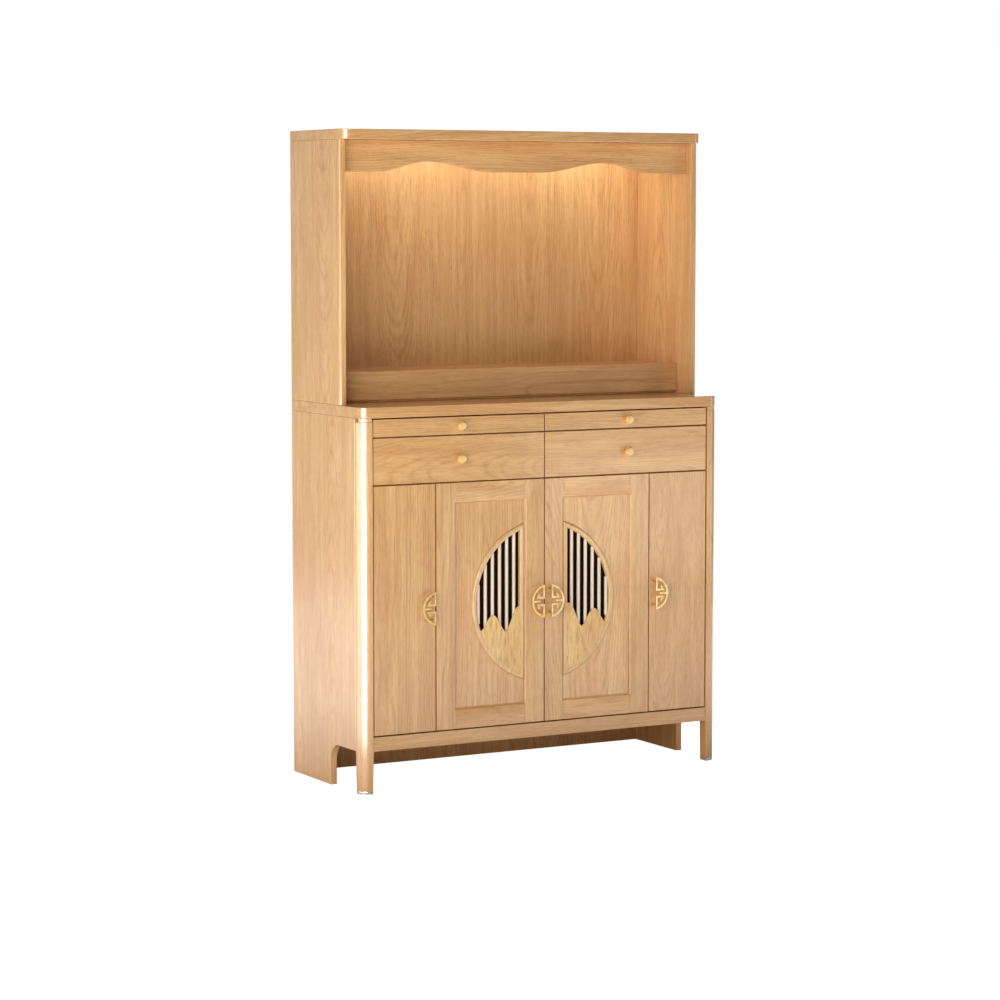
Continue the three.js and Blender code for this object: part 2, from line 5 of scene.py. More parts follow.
import bmesh
import bpy
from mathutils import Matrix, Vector


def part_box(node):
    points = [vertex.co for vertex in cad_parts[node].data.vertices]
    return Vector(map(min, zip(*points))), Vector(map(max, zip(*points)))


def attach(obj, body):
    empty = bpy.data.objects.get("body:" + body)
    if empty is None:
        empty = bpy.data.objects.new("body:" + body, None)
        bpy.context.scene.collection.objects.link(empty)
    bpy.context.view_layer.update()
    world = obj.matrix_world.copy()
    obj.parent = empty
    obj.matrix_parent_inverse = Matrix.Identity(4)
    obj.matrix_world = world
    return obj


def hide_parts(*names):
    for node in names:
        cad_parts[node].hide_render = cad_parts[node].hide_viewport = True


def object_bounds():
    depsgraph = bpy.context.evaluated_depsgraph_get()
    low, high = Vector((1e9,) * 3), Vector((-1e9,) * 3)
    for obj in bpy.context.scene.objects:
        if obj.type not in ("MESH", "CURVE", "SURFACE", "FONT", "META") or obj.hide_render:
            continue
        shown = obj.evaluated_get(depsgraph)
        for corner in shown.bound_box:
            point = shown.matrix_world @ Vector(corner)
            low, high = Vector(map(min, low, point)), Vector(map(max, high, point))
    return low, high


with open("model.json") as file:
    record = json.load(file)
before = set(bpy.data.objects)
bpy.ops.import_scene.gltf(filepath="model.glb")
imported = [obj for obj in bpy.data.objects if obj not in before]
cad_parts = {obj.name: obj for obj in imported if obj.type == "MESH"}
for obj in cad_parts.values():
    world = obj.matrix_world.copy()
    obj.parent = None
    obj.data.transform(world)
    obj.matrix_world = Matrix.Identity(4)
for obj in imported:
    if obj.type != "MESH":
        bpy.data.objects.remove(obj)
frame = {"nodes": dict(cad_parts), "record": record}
cad_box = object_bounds()

# Looks of a household altar cabinet in light oak. Metres; X to the right, front towards -Y,
# Z up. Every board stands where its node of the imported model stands.

# Rounded forms
post_radius = 0.030
small_radius = 0.0015
leg_height = 0.111
leg_taper = 0.0012
collar_inset = 0.001
collar_notch = 0.015
side_arch_radius = 0.046
rear_foot_depth = 0.226
back_plane = 0.2114
rail_bracket_radius = 0.006
niche_edge_radius = 0.008
top_radius = 0.024
arris = 0.0011
soft_arris = 0.0022

# Lower edge of the valance
valance_height = 0.0815
valance_rise = 0.027
valance_end_flat = 0.106
valance_peak_from_end = 0.254
valance_middle_flat = 0.066

# Shadow gap under the front of the step
step_gap_height = 0.006
step_gap_depth = 0.012

# Framed doors
door_face = -0.1911
door_mid = 0.4715
ogee_width = 0.006
ogee_depth = 0.0050
frame_lip = 0.006
frame_rebate = 0.008
joint_gap = 0.0003

# Round lattice
ring_radius = 0.21425
ring_band = 0.014
ring_bar = 0.0125
ring_flat = 0.05955
ring_setback = 0.001
ring_back = 0.0133
ring_round = 0.0060
slat_width = 0.0085
slat_pitch = 0.0212
first_slat_gap = 0.0112
slat_setback = 0.0053
slat_thickness = 0.006
slat_round = 0.0042
slat_seat = 0.004
hill_setback = 0.002
hill_lap = 0.0027
hills = [(0.35, -0.053), (0.537, -0.352), (0.715, -0.142), (0.874, -0.32), (0.96, -0.26)]
hill_roundness = 1.6

# Fretwork handles
handle_radius = 0.0435
handle_flat = 0.005
handle_bar = 0.005
handle_plate = 0.004
handle_standoff = 0.016
handle_post_radius = 0.003
handle_post_height = 0.031
handle_gap = 0.014
handle_hook_radius = 0.028
handle_hook_angle = 43
handle_stub = 0.018

# Diamond knobs
knob_back = 0.0105
knob_girdle = 0.013
knob_table = 0.010
knob_fullness = 0.95
knob_stem_radius = 0.005
knob_stem = 0.008
knob_girdle_depth = 0.012
knob_proud = 0.020

# Camera fitted to the photograph
camera_place = (-4.0133, -7.1843, 1.4880)
camera_pitch = -5.33
camera_turn = -29.02
camera_lens = 111.26

scene = bpy.context.scene
body_of = {
    node: body
    for body, nodes in frame["record"]["behaviour"]["bodies"].items()
    for node in nodes
}


# Outlines and solids

def in_plan(a, b, c):
    """An outline in X and Y, swept along Z."""
    return (a, b, c)


def in_front(a, b, c):
    """An outline in X and Z, swept along Y."""
    return (a, c, b)


def from_side(a, b, c):
    """An outline in Y and Z, swept along X."""
    return (c, a, b)


def arc(middle_a, middle_b, radius, start, end, steps):
    """Points along an arc between two angles in degrees, both ends included."""
    angles = [math.radians(start + (end - start) * i / steps) for i in range(steps + 1)]
    return [(middle_a + radius * math.cos(t), middle_b + radius * math.sin(t)) for t in angles]


def rounded(corners, steps=10):
    """An outline through corners (a, b, radius), each corner rounded by its radius."""
    points = []
    for index, (a, b, radius) in enumerate(corners):
        here = Vector((a, b))
        if radius == 0:
            points.append((a, b))
            continue
        before = (Vector(corners[index - 1][:2]) - here).normalized()
        after = (Vector(corners[(index + 1) % len(corners)][:2]) - here).normalized()
        half = before.angle(after) / 2
        middle = here + (before + after).normalized() * radius / math.sin(half)
        first = here + before * radius / math.tan(half) - middle
        last = here + after * radius / math.tan(half) - middle
        start = math.atan2(first.y, first.x)
        sweep = math.atan2(last.y, last.x) - start
        sweep = (sweep + math.pi) % (2 * math.pi) - math.pi
        points += arc(*middle, radius, math.degrees(start), math.degrees(start + sweep), steps)
    return points


def prism(outline, place, low, high):
    """A solid with the given outline, swept from low to high."""
    mesh = bmesh.new()
    near = [mesh.verts.new(place(a, b, low)) for a, b in outline]
    far = [mesh.verts.new(place(a, b, high)) for a, b in outline]
    mesh.faces.new(near)
    mesh.faces.new(far)
    for i in range(len(outline)):
        j = (i + 1) % len(outline)
        mesh.faces.new((near[i], near[j], far[j], far[i]))
    bmesh.ops.recalc_face_normals(mesh, faces=mesh.faces)
    return mesh


def loft(rings, closed=False):
    """A solid skinned over rings of equal length, capped at both ends unless closed."""
    mesh = bmesh.new()
    levels = [[mesh.verts.new(point) for point in ring] for ring in rings]
    pairs = list(zip(levels, levels[1:]))
    if closed:
        pairs.append((levels[-1], levels[0]))
    else:
        mesh.faces.new(levels[0])
        mesh.faces.new(levels[-1])
    count = len(rings[0])
    for lower, upper in pairs:
        for i in range(count):
            j = (i + 1) % count
            mesh.faces.new((lower[i], lower[j], upper[j], upper[i]))
    bmesh.ops.recalc_face_normals(mesh, faces=mesh.faces)
    return mesh


def block(low, high):
    outline = [(low[0], low[1]), (high[0], low[1]), (high[0], high[1]), (low[0], high[1])]
    return prism(outline, in_plan, low[2], high[2])


def rod(x, z, radius, front, back, sides=24):
    """A round bar along Y."""
    return prism(arc(x, z, radius, 0, 360 * (1 - 1 / sides), sides - 1), in_front, front, back)


def cad_copy(node):
    """A node's own form, with its triangles joined into whole flat faces."""
    mesh = bmesh.new()
    mesh.from_mesh(frame["nodes"][node].data)
    bmesh.ops.remove_doubles(mesh, verts=mesh.verts, dist=1e-6)
    flat = math.radians(0.5)
    bmesh.ops.dissolve_limit(mesh, angle_limit=flat, verts=mesh.verts, edges=mesh.edges)
    return mesh


def mirrored(mesh):
    """The mirror image across the YZ plane."""
    copy = mesh.copy()
    bmesh.ops.scale(copy, vec=(-1, 1, 1), verts=copy.verts)
    bmesh.ops.reverse_faces(copy, faces=copy.faces)
    return copy


def moved(mesh, x, y, z):
    copy = mesh.copy()
    bmesh.ops.translate(copy, vec=(x, y, z), verts=copy.verts)
    return copy


def as_object(name, mesh):
    data = bpy.data.meshes.new(name)
    mesh.to_mesh(data)
    mesh.free()
    obj = bpy.data.objects.new(name, data)
    scene.collection.objects.link(obj)
    return obj


def apply_modifiers(obj):
    """Turns what the modifiers show into the object's own mesh."""
    graph = bpy.context.evaluated_depsgraph_get()
    shown = bpy.data.meshes.new_from_object(obj.evaluated_get(graph))
    obj.modifiers.clear()
    old = obj.data
    obj.data = shown
    bpy.data.meshes.remove(old)


def combined(base, tools, operation):
    """A base solid with other solids joined on (UNION) or cut off (DIFFERENCE)."""
    body = as_object("boolean_base", base)
    helpers = [as_object("boolean_tool", tool) for tool in tools]
    for helper in helpers:
        step = body.modifiers.new("boolean", "BOOLEAN")
        step.operation = operation
        step.solver = "EXACT"
        step.object = helper
    apply_modifiers(body)
    mesh = bmesh.new()
    mesh.from_mesh(body.data)
    bmesh.ops.remove_doubles(mesh, verts=mesh.verts, dist=1e-6)
    flat = math.radians(0.2)
    bmesh.ops.dissolve_limit(mesh, angle_limit=flat, verts=mesh.verts, edges=mesh.edges)
    for obj in [body, *helpers]:
        bpy.data.objects.remove(obj)
    return mesh


# Materials

class Graph:
    """A material's node tree, built one call at a time."""

    def __init__(self, name):
        self.material = bpy.data.materials.new(name)
        self.material.use_nodes = True
        self.tree = self.material.node_tree
        self.tree.nodes.clear()

    def add(self, kind, inputs=(), **settings):
        node = self.tree.nodes.new(kind)
        for key, value in settings.items():
            setattr(node, key, value)
        for key, value in dict(inputs).items():
            if isinstance(value, bpy.types.NodeSocket):
                self.tree.links.new(value, node.inputs[key])
            else:
                node.inputs[key].default_value = value
        return node

    def math(self, operation, *values):
        node = self.add("ShaderNodeMath", enumerate(values), operation=operation)
        return node.outputs[0]

    def vector(self, operation, *values):
        node = self.add("ShaderNodeVectorMath", enumerate(values), operation=operation)
        return node.outputs[0]

    def join(self, x, y, z):
        return self.add("ShaderNodeCombineXYZ", enumerate((x, y, z))).outputs[0]

    def noise(self, vector, stretch, detail=2.0):
        scaled = self.vector("MULTIPLY", vector, stretch)
        settings = {"Vector": scaled, "Scale": 1.0, "Detail": detail}
        return self.add("ShaderNodeTexNoise", settings)

    def spread(self, value, low, high, to_low=0.0, to_high=1.0):
        settings = enumerate((value, low, high, to_low, to_high))
        return self.add("ShaderNodeMapRange", settings).outputs[0]

    def mix(self, share, first, second, blend="MIX"):
        settings = {0: share, 6: first, 7: second}
        node = self.add("ShaderNodeMix", settings, data_type="RGBA", blend_type=blend)
        return node.outputs[2]

    def finish(self, shader_inputs):
        shader = self.add("ShaderNodeBsdfPrincipled", shader_inputs)
        output = self.add("ShaderNodeOutputMaterial")
        self.tree.links.new(shader.outputs[0], output.inputs[0])
        return self.material


def colour(red, green, blue):
    """A colour given as 0 to 255 on the screen."""
    parts = [(part / 255) for part in (red, green, blue)]
    linear = [p / 12.92 if p <= 0.04045 else ((p + 0.055) / 1.055) ** 2.4 for p in parts]
    return (*linear, 1.0)


stave_width = 0.22
ring_pitch = 0.0052


def wood(name, light, dark, patch, ring_depth=0.55, fleck_depth=0.35, coat=1.0, gloss=0.42):
    """Sawn wood: growth rings round a pith behind the board, fibres, dashes and soft patches.

    It reads the mesh's own attributes: grain, with x along the grain and y across the board,
    and seed, one number a board.
    """
    g = Graph(name)
    grain = g.add("ShaderNodeAttribute", attribute_name="grain").outputs["Vector"]
    seed = g.add("ShaderNodeAttribute", attribute_name="seed").outputs["Fac"]
    along, across, through = g.add("ShaderNodeSeparateXYZ", {0: grain}).outputs

    # Wide boards are made of staves, each with a pith and a tone of its own.
    stave = g.math("ROUND", g.math("DIVIDE", across, stave_width))
    local = g.math("SUBTRACT", across, g.math("MULTIPLY", stave, stave_width))
    chance = g.add("ShaderNodeTexWhiteNoise", {"Vector": g.join(stave, seed, 0.0)})
    pick_a, pick_b, pick_c = g.add("ShaderNodeSeparateXYZ", {0: chance.outputs["Color"]}).outputs
    run = g.math("ADD", along, g.math("MULTIPLY_ADD", seed, 3.7, g.math("MULTIPLY", stave, 1.3)))
    aside = g.math("SUBTRACT", local, g.spread(pick_a, 0, 1, -0.07, 0.07))
    lean = g.math("MULTIPLY", along, g.spread(pick_c, 0, 1, -0.09, 0.09))
    behind = g.math("ADD", g.math("SUBTRACT", through, g.spread(pick_b, 0, 1, 0.035, 0.13)), lean)
    place = g.join(run, aside, behind)

    sway = g.noise(place, (1.7, 5, 5), 3.0).outputs[1]
    pushed = g.vector("MULTIPLY_ADD", sway, (0, 0.045, 0.045), place)
    _, side, depth = g.add("ShaderNodeSeparateXYZ", {0: pushed}).outputs
    radius = g.math("SQRT", g.math("ADD", g.math("POWER", side, 2), g.math("POWER", depth, 2)))
    turns = g.math("DIVIDE", radius, ring_pitch)
    year = g.math("FRACT", turns)
    late = g.math("POWER", g.math("SUBTRACT", 1.0, g.math("ABSOLUTE", g.spread(year, 0, 1, -1, 1))), 2.2)
    years = g.add("ShaderNodeTexNoise", {"W": g.math("MULTIPLY", turns, 0.35)}, noise_dimensions="1D")
    rings = g.math("MULTIPLY", late, g.spread(years.outputs[0], 0.3, 0.7, 0.15, 1.0))

    streaks = g.noise(place, (1.4, 75, 75), 3.0).outputs[0]
    fibres = g.noise(place, (9, 420, 420), 2.0).outputs[0]
    pores = g.spread(g.noise(place, (38, 950, 950), 1.0).outputs[0], 0.60, 0.72)
    dashes = g.spread(g.noise(place, (20, 330, 330), 2.0).outputs[0], 0.56, 0.70)
    patches = g.spread(g.noise(place, (3.2, 17, 17), 2.0).outputs[0], 0.40, 0.70)
    flecks = g.spread(g.noise(place, (30, 170, 170), 2.0).outputs[0], 0.5, 0.75)

    dark_share = g.math("MULTIPLY_ADD", rings, ring_depth, g.spread(streaks, 0.3, 0.7, -0.05, 0.45))
    dark_share = g.math("ADD", dark_share, g.spread(fibres, 0.3, 0.7, -0.15, 0.15))
    base = g.mix(g.math("MINIMUM", g.math("MAXIMUM", dark_share, 0.0), 1.0), light, dark)
    base = g.mix(g.math("MULTIPLY", patches, 0.4), base, patch)
    base = g.mix(g.math("MULTIPLY", flecks, fleck_depth), base, patch)
    base = g.mix(g.math("MULTIPLY", dashes, 0.28), base, colour(150, 98, 52))
    base = g.mix(g.math("MULTIPLY", pores, 0.25), base, colour(120, 78, 42))
    tone = g.spread(g.math("FRACT", g.math("MULTIPLY_ADD", pick_a, 7.0, pick_b)), 0, 1, 0.94, 1.06)
    toned = g.add("ShaderNodeHueSaturation", {"Value": tone, "Color": base}).outputs[0]

    rough = g.math("MULTIPLY_ADD", fibres, 0.14, gloss)
    rough = g.math("MULTIPLY_ADD", pores, 0.15, rough)
    height = g.math("MULTIPLY_ADD", rings, 0.25, g.math("MULTIPLY", fibres, 0.35))
    height = g.math("SUBTRACT", height, g.math("MULTIPLY", pores, 0.8))
    bump = g.add("ShaderNodeBump", {"Strength": 0.35, "Distance": 0.0002, "Height": height})
    return g.finish({
        "Base Color": toned,
        "Roughness": rough,
        "Normal": bump.outputs[0],
        "Specular IOR Level": 0.25,
        "Coat Weight": coat,
        "Coat Roughness": 0.17,
        "Coat IOR": 1.6,
    })


def brass(name, light, dull, polish, metal=1.0):
    """Satin brass with a faint brushed grain and duller patches scattered at random."""
    g = Graph(name)
    place = g.add("ShaderNodeAttribute", attribute_name="grain").outputs["Vector"]
    brushed = g.noise(place, (90, 900, 900), 2.0).outputs[0]
    cloud = g.noise(place, (70, 70, 70), 2.0).outputs[0]
    shade = g.mix(g.spread(cloud, 0.35, 0.7), light, dull)
    rough = g.math("MULTIPLY_ADD", brushed, 0.16, g.spread(cloud, 0.3, 0.7, polish, polish + 0.08))
    bump = g.add("ShaderNodeBump", {"Strength": 0.25, "Distance": 0.0001, "Height": brushed})
    return g.finish({
        "Base Color": shade,
        "Metallic": metal,
        "Roughness": rough,
        "Normal": bump.outputs[0],
    })


def steel():
    """Polished pale steel with faint turned lines."""
    g = Graph("polished_steel")
    place = g.add("ShaderNodeAttribute", attribute_name="grain").outputs["Vector"]
    lines = g.noise(place, (900, 40, 40), 2.0).outputs[0]
    shade = g.mix(g.spread(lines, 0.3, 0.7), colour(248, 246, 240), colour(232, 228, 220))
    rough = g.spread(lines, 0.3, 0.7, 0.10, 0.2)
    bump = g.add("ShaderNodeBump", {"Strength": 0.2, "Distance": 0.0001, "Height": lines})
    return g.finish({
        "Base Color": shade,
        "Metallic": 1.0,
        "Roughness": rough,
        "Normal": bump.outputs[0],
    })


def dark_lining():
    """Dark brown, nearly black painted board behind the lattice."""
    g = Graph("dark_lining")
    place = g.add("ShaderNodeAttribute", attribute_name="grain").outputs["Vector"]
    mottle = g.noise(place, (60, 260, 260), 3.0).outputs[0]
    shade = g.mix(g.spread(mottle, 0.3, 0.7), colour(14, 5, 4), colour(28, 11, 8))
    bump = g.add("ShaderNodeBump", {"Strength": 0.3, "Distance": 0.0002, "Height": mottle})
    return g.finish({
        "Base Color": shade,
        "Roughness": 0.85,
        "Specular IOR Level": 0.1,
        "Normal": bump.outputs[0],
    })


finishes = {
    "oak": wood("light_oak", colour(238, 191, 129), colour(190, 134, 79), colour(205, 141, 82)),
    "drawer_wood": wood(
        "pale_drawer_wood", colour(228, 200, 156), colour(206, 170, 120), colour(214, 176, 124),
        ring_depth=0.3, fleck_depth=0.1, coat=0.0, gloss=0.5,
    ),
    "hill_wood": wood(
        "hill_wood", colour(250, 210, 132), colour(214, 158, 80), colour(206, 138, 62),
        ring_depth=0.35, fleck_depth=0.9,
    ),
    "ring_wood": wood("ring_wood", colour(244, 208, 152), colour(208, 160, 100), colour(220, 164, 104)),
    # The slats get a paler, cream copy of the oak. The paleness is partly pale wood and partly a painted
    # highlight standing in for the shine their rounded fronts catch.
    "slat_wood": wood(
        "slat_wood", colour(252, 236, 212), colour(236, 208, 176), colour(240, 206, 170),
        ring_depth=0.3, fleck_depth=0.1,
    ),
    "dark_lining": dark_lining(),
    "brass": brass("satin_brass", colour(246, 214, 152), colour(222, 178, 108), 0.18, metal=0.9),
    # The knobs get a paler, less metallic copy of the handles' brass. Its even pale gold is partly brass
    # colour and partly a painted reflection of bright light, in place of the reflections real brass would
    # show.
    "knob_brass": brass("pale_brass_painted_sheen", colour(255, 222, 150), colour(248, 204, 130), 0.30, metal=0.4),
    "steel": steel(),
}


# Pieces

def lay_grain(data, along, seed):
    """Stores where each point lies in its board: along the grain, across it and through."""
    points = [vertex.co for vertex in data.vertices]
    low = [min(point[i] for point in points) for i in range(3)]
    high = [max(point[i] for point in points) for i in range(3)]
    middle = [(a + b) / 2 for a, b in zip(low, high)]
    others = sorted((i for i in range(3) if i != along), key=lambda i: low[i] - high[i])
    order = [along, *others]
    grain = data.attributes.new("grain", "FLOAT_VECTOR", "POINT")
    values = [point[i] - middle[i] for point in points for i in order]
    grain.data.foreach_set("vector", values)
    number = data.attributes.new("seed", "FLOAT", "POINT")
    number.data.foreach_set("value", [seed] * len(points))


def piece(node, mesh, slot, along="x", ease=arris, limit=40, finish=None):
    """Finishes a solid as a piece that stands for a node, with its arrises eased."""
    obj = as_object(f"{node}_{finish or slot}", mesh)
    if ease:
        bevel = obj.modifiers.new("ease", "BEVEL")
        bevel.width = ease
        bevel.segments = 3
        bevel.limit_method = "ANGLE"
        bevel.angle_limit = math.radians(limit)
        bevel.harden_normals = True
        bevel.use_clamp_overlap = True
    for face in obj.data.polygons:
        face.use_smooth = True
    obj.data.set_sharp_from_angle(angle=math.radians(limit))
    apply_modifiers(obj)
    lay_grain(obj.data, "xyz".index(along), random.Random(node).uniform(0, 40))
    obj.data.materials.clear()
    obj.data.materials.append(finishes[finish or slot])
    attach(obj, body_of[node])
    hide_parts(node)
    return obj


def pair(name, right, slot, **options):
    """The right-hand piece as given, and its mirror image on the left."""
    left = mirrored(right)
    piece(f"right_{name}", right, slot, **options)
    piece(f"left_{name}", left, slot, **options)


def copied_pair(name, slot, **options):
    for side in ("right", "left"):
        node = f"{side}_{name}"
        piece(node, cad_copy(node), slot, **options)


def post_plan(low, high, inset=0.0):
    """Plan of the right post: its outer front corner is fully rounded."""
    return rounded([
        (low.x + inset, high.y - inset, small_radius),
        (low.x + inset, low.y + inset, small_radius),
        (high.x - inset, low.y + inset, post_radius - inset),
        (high.x - inset, high.y - inset, small_radius),
    ], 20)


def collar_plan(low, high):
    """Plan of the right collar: the front of the post's plan, open behind as a notch."""
    radius = post_radius - collar_inset
    middle_y = low.y + post_radius
    back = high.y - collar_notch
    end = math.degrees(math.asin((back - middle_y) / radius))
    outline = [(low.x + collar_inset, back), (low.x + collar_inset, low.y + collar_inset)]
    return outline + arc(high.x - post_radius, middle_y, radius, -90, end, 20)


def tapered(mesh, low, high):
    """Narrows a post below the rail, towards its foot."""
    middle = (low + high) / 2
    bmesh.ops.bisect_plane(
        mesh,
        geom=[*mesh.verts, *mesh.edges, *mesh.faces],
        plane_co=(0, 0, leg_height),
        plane_no=(0, 0, 1),
    )
    for vertex in mesh.verts:
        share = max(0.0, (leg_height - vertex.co.z) / leg_height)
        for axis in (0, 1):
            size = high[axis] - low[axis]
            scale = 1 - 2 * leg_taper * share / size
            vertex.co[axis] = middle[axis] + (vertex.co[axis] - middle[axis]) * scale
    return mesh


def make_posts():
    low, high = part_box("right_front_post")
    post = tapered(prism(post_plan(low, high), in_plan, low.z, high.z), low, high)
    pair("front_post", post, "oak", along="z", ease=0.0006, limit=60)
    bottom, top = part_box("right_post_collar")
    collar = prism(collar_plan(low, high), in_plan, bottom.z, top.z)
    pair("post_collar", collar, "oak", along="z", ease=0.0008, limit=60)
    foot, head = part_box("right_foot_cap")
    cap = tapered(prism(post_plan(low, high), in_plan, foot.z, head.z), low, high)
    pair("foot_cap", cap, "steel", along="z", ease=0.0010, limit=60)


def make_side_panels():
    low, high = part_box("right_side_panel")
    arch = back_plane - rear_foot_depth - side_arch_radius
    outline = [(high.y, low.z), (high.y, high.z), (low.y, high.z), (low.y, leg_height)]
    outline += arc(arch, leg_height - side_arch_radius, side_arch_radius, 90, 0, 24)
    outline += [(arch + side_arch_radius, low.z)]
    panel = prism(outline, from_side, low.x, high.x)
    pair("side_panel", panel, "oak", along="z")


def make_front_rail():
    low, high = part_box("front_rail")
    radius = rail_bracket_radius
    lift = leg_height - radius
    outline = [(low.x, high.z)]
    outline += arc(low.x + radius, lift, radius, 180, 90, 14)
    outline += arc(high.x - radius, lift, radius, 90, 0, 14)
    outline += [(high.x, high.z)]
    piece("front_rail", prism(outline, in_front, low.y, high.y), "oak")


def round_front_plan(low, high, radius):
    return rounded([
        (high.x, high.y, small_radius),
        (low.x, high.y, small_radius),
        (low.x, low.y, radius),
        (high.x, low.y, radius),
    ], 16)


def make_round_fronted_boards():
    for node, radius in (("countertop", post_radius), ("niche_top", top_radius)):
        low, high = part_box(node)
        board = prism(round_front_plan(low, high, radius), in_plan, low.z, high.z)
        piece(node, board, "oak", along="x", ease=soft_arris)


def make_niche_sides():
    low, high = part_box("right_niche_side")
    plan = rounded([
        (low.x, high.y, small_radius),
        (low.x, low.y, small_radius),
        (high.x, low.y, niche_edge_radius),
        (high.x, high.y, small_radius),
    ], 12)
    pair("niche_side", prism(plan, in_plan, low.z, high.z), "oak", along="z", ease=0.0006, limit=60)


def valance_lift(x, end):
    """Height of the lower edge above its low ends, at a distance from the middle."""
    outer_foot = end - valance_end_flat
    peak = end - valance_peak_from_end
    along = abs(x)
    if along >= outer_foot or along <= valance_middle_flat:
        return 0.0
    if along > peak:
        run = (outer_foot - along) / (outer_foot - peak)
    else:
        run = (along - valance_middle_flat) / (peak - valance_middle_flat)
    return valance_rise * (0.5 - 0.5 * math.cos(math.pi * run))


def make_valance():
    low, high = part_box("valance")
    end = high.x + joint_gap
    steps = 200
    outline = [(high.x, high.z), (low.x, high.z)]
    for i in range(steps + 1):
        x = low.x + (high.x - low.x) * i / steps
        outline.append((x, high.z - valance_height + valance_lift(x, end)))
    piece("valance", prism(outline, in_front, low.y, high.y), "oak", ease=0.0014)


def make_step():
    low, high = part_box("step_front")
    outline = [
        (low.y, high.z),
        (high.y, high.z),
        (high.y, low.z),
        (low.y + step_gap_depth, low.z),
        (low.y + step_gap_depth, low.z + step_gap_height),
        (low.y, low.z + step_gap_height),
    ]
    piece("step_front", prism(outline, from_side, low.x, high.x), "oak")
    piece("step_top", cad_copy("step_top"), "oak")


def make_plain_boards():
    for node, along in (
        ("cabinet_floor", "x"),
        ("drawer_shelf", "x"),
        ("drawer_divider", "z"),
        ("base_back", "z"),
        ("niche_back", "z"),
    ):
        piece(node, cad_copy(node), "oak", along=along)
    copied_pair("divider", "oak", along="z")
    copied_pair("dust_board", "drawer_wood", along="x")


def make_drawers():
    for band in ("slim", "deep"):
        copied_pair(f"{band}_drawer_front", "oak", along="x")
        copied_pair(f"{band}_drawer_box", "drawer_wood", along="y", ease=0.0008)
        for side in ("right", "left"):
            node = f"{side}_{band}_drawer_knob"
            low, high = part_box(node)
            knob = knob_solid((low.x + high.x) / 2, high.y, (low.z + high.z) / 2)
            # The knobs take the paler brass copy, whose even brightness is partly a painted reflection.
            piece(node, knob, "brass", ease=0.0010, limit=24, finish="knob_brass")


def knob_solid(x, back, z):
    """A full diamond, corner up, on a short round stem."""
    def ring(depth, reach):
        corners = []
        for i in range(8):
            out = reach * (knob_fullness if i % 2 else 1.0)
            turn = math.radians(45 * i)
            corners.append((x + out * math.cos(turn), back - depth, z + out * math.sin(turn)))
        return corners

    head = loft([
        ring(knob_stem, knob_back),
        ring(knob_girdle_depth, knob_girdle),
        ring(knob_proud, knob_table),
    ])
    stem = rod(x, z, knob_stem_radius, back - knob_stem - 0.001, back)
    return combined(head, [stem], "UNION")


def opening_of(low, high, grow, y):
    """A rectangular ring of the door opening, grown by a margin, at one depth."""
    return [
        (low.x - grow, y, low.z - grow),
        (high.x + grow, y, low.z - grow),
        (high.x + grow, y, high.z + grow),
        (low.x - grow, y, high.z + grow),
    ]


def make_door_frames():
    """Stiles and rails round each panel, with one moulding running mitred round them."""
    for side in ("right", "left"):
        panel_low, panel_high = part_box(f"{side}_door_panel")
        inset = frame_rebate - joint_gap
        low = Vector((panel_low.x + inset, 0, panel_low.z + inset))
        high = Vector((panel_high.x - inset, 0, panel_high.z - inset))
        rings = [opening_of(low, high, 0, door_face + frame_lip + 0.001)]
        steps = 10
        for i in range(steps + 1):
            share = i / steps
            wave = share - math.sin(2 * math.pi * share) / (2 * math.pi) * 0.8
            depth = ogee_depth * (1 - wave)
            rings.append(opening_of(low, high, ogee_width * share, door_face + depth))
        rings.append(opening_of(low, high, ogee_width, door_face - 0.001))
        for part, along in (
            ("meeting_stile", "z"),
            ("hinge_stile", "z"),
            ("top_rail", "x"),
            ("bottom_rail", "x"),
        ):
            node = f"{side}_door_{part}"
            board = block(*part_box(node))
            rebate = block(
                (low.x - frame_rebate, door_face + frame_lip, low.z - frame_rebate),
                (high.x + frame_rebate, door_face + 1, high.z + frame_rebate),
            )
            cut = combined(board, [loft(rings), rebate], "DIFFERENCE")
            piece(node, cut, "oak", along=along, ease=0.0008, limit=60)


def segment(radius, flat, steps=96):
    """The part of a disc beyond x = flat, in X and Z around the disc's middle."""
    angle = math.degrees(math.acos(flat / radius))
    return arc(0, 0, radius, -angle, angle, steps)


def make_door_panels():
    low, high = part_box("right_door_panel")
    bite = ring_radius + joint_gap
    angle = math.degrees(math.acos(low.x / bite))
    outline = [(high.x, low.z), (high.x, high.z), (low.x, high.z)]
    outline += arc(0, door_mid, bite, angle, -angle, 96)
    outline += [(low.x, low.z)]
    pair("door_panel", prism(outline, in_front, low.y, high.y), "oak", along="z", ease=0.0006)
    copied_pair("door_lining", "dark_lining", along="z", ease=0)


def half_ring():
    """The half ring with its flat bar, rounded over at its front edges."""
    profile = [(0, ring_back)]
    profile += [(0, ring_setback + ring_round)]
    edge = ring_round / ring_band
    for i in range(1, 8):
        turn = math.pi / 2 * i / 8
        profile.append((edge * (1 - math.cos(turn)), ring_setback + ring_round * (1 - math.sin(turn))))
    profile += [(edge, ring_setback), (1 - edge, ring_setback)]
    for i in range(7, 0, -1):
        turn = math.pi / 2 * i / 8
        profile.append((1 - edge * (1 - math.cos(turn)), ring_setback + ring_round * (1 - math.sin(turn))))
    profile += [(1, ring_setback + ring_round), (1, ring_back)]
    rings = []
    for share, depth in profile:
        shape = segment(ring_radius - ring_band * share, ring_flat + ring_bar * share)
        rings.append([(a, door_face + depth, door_mid + b) for a, b in shape])
    return loft(rings, closed=True)


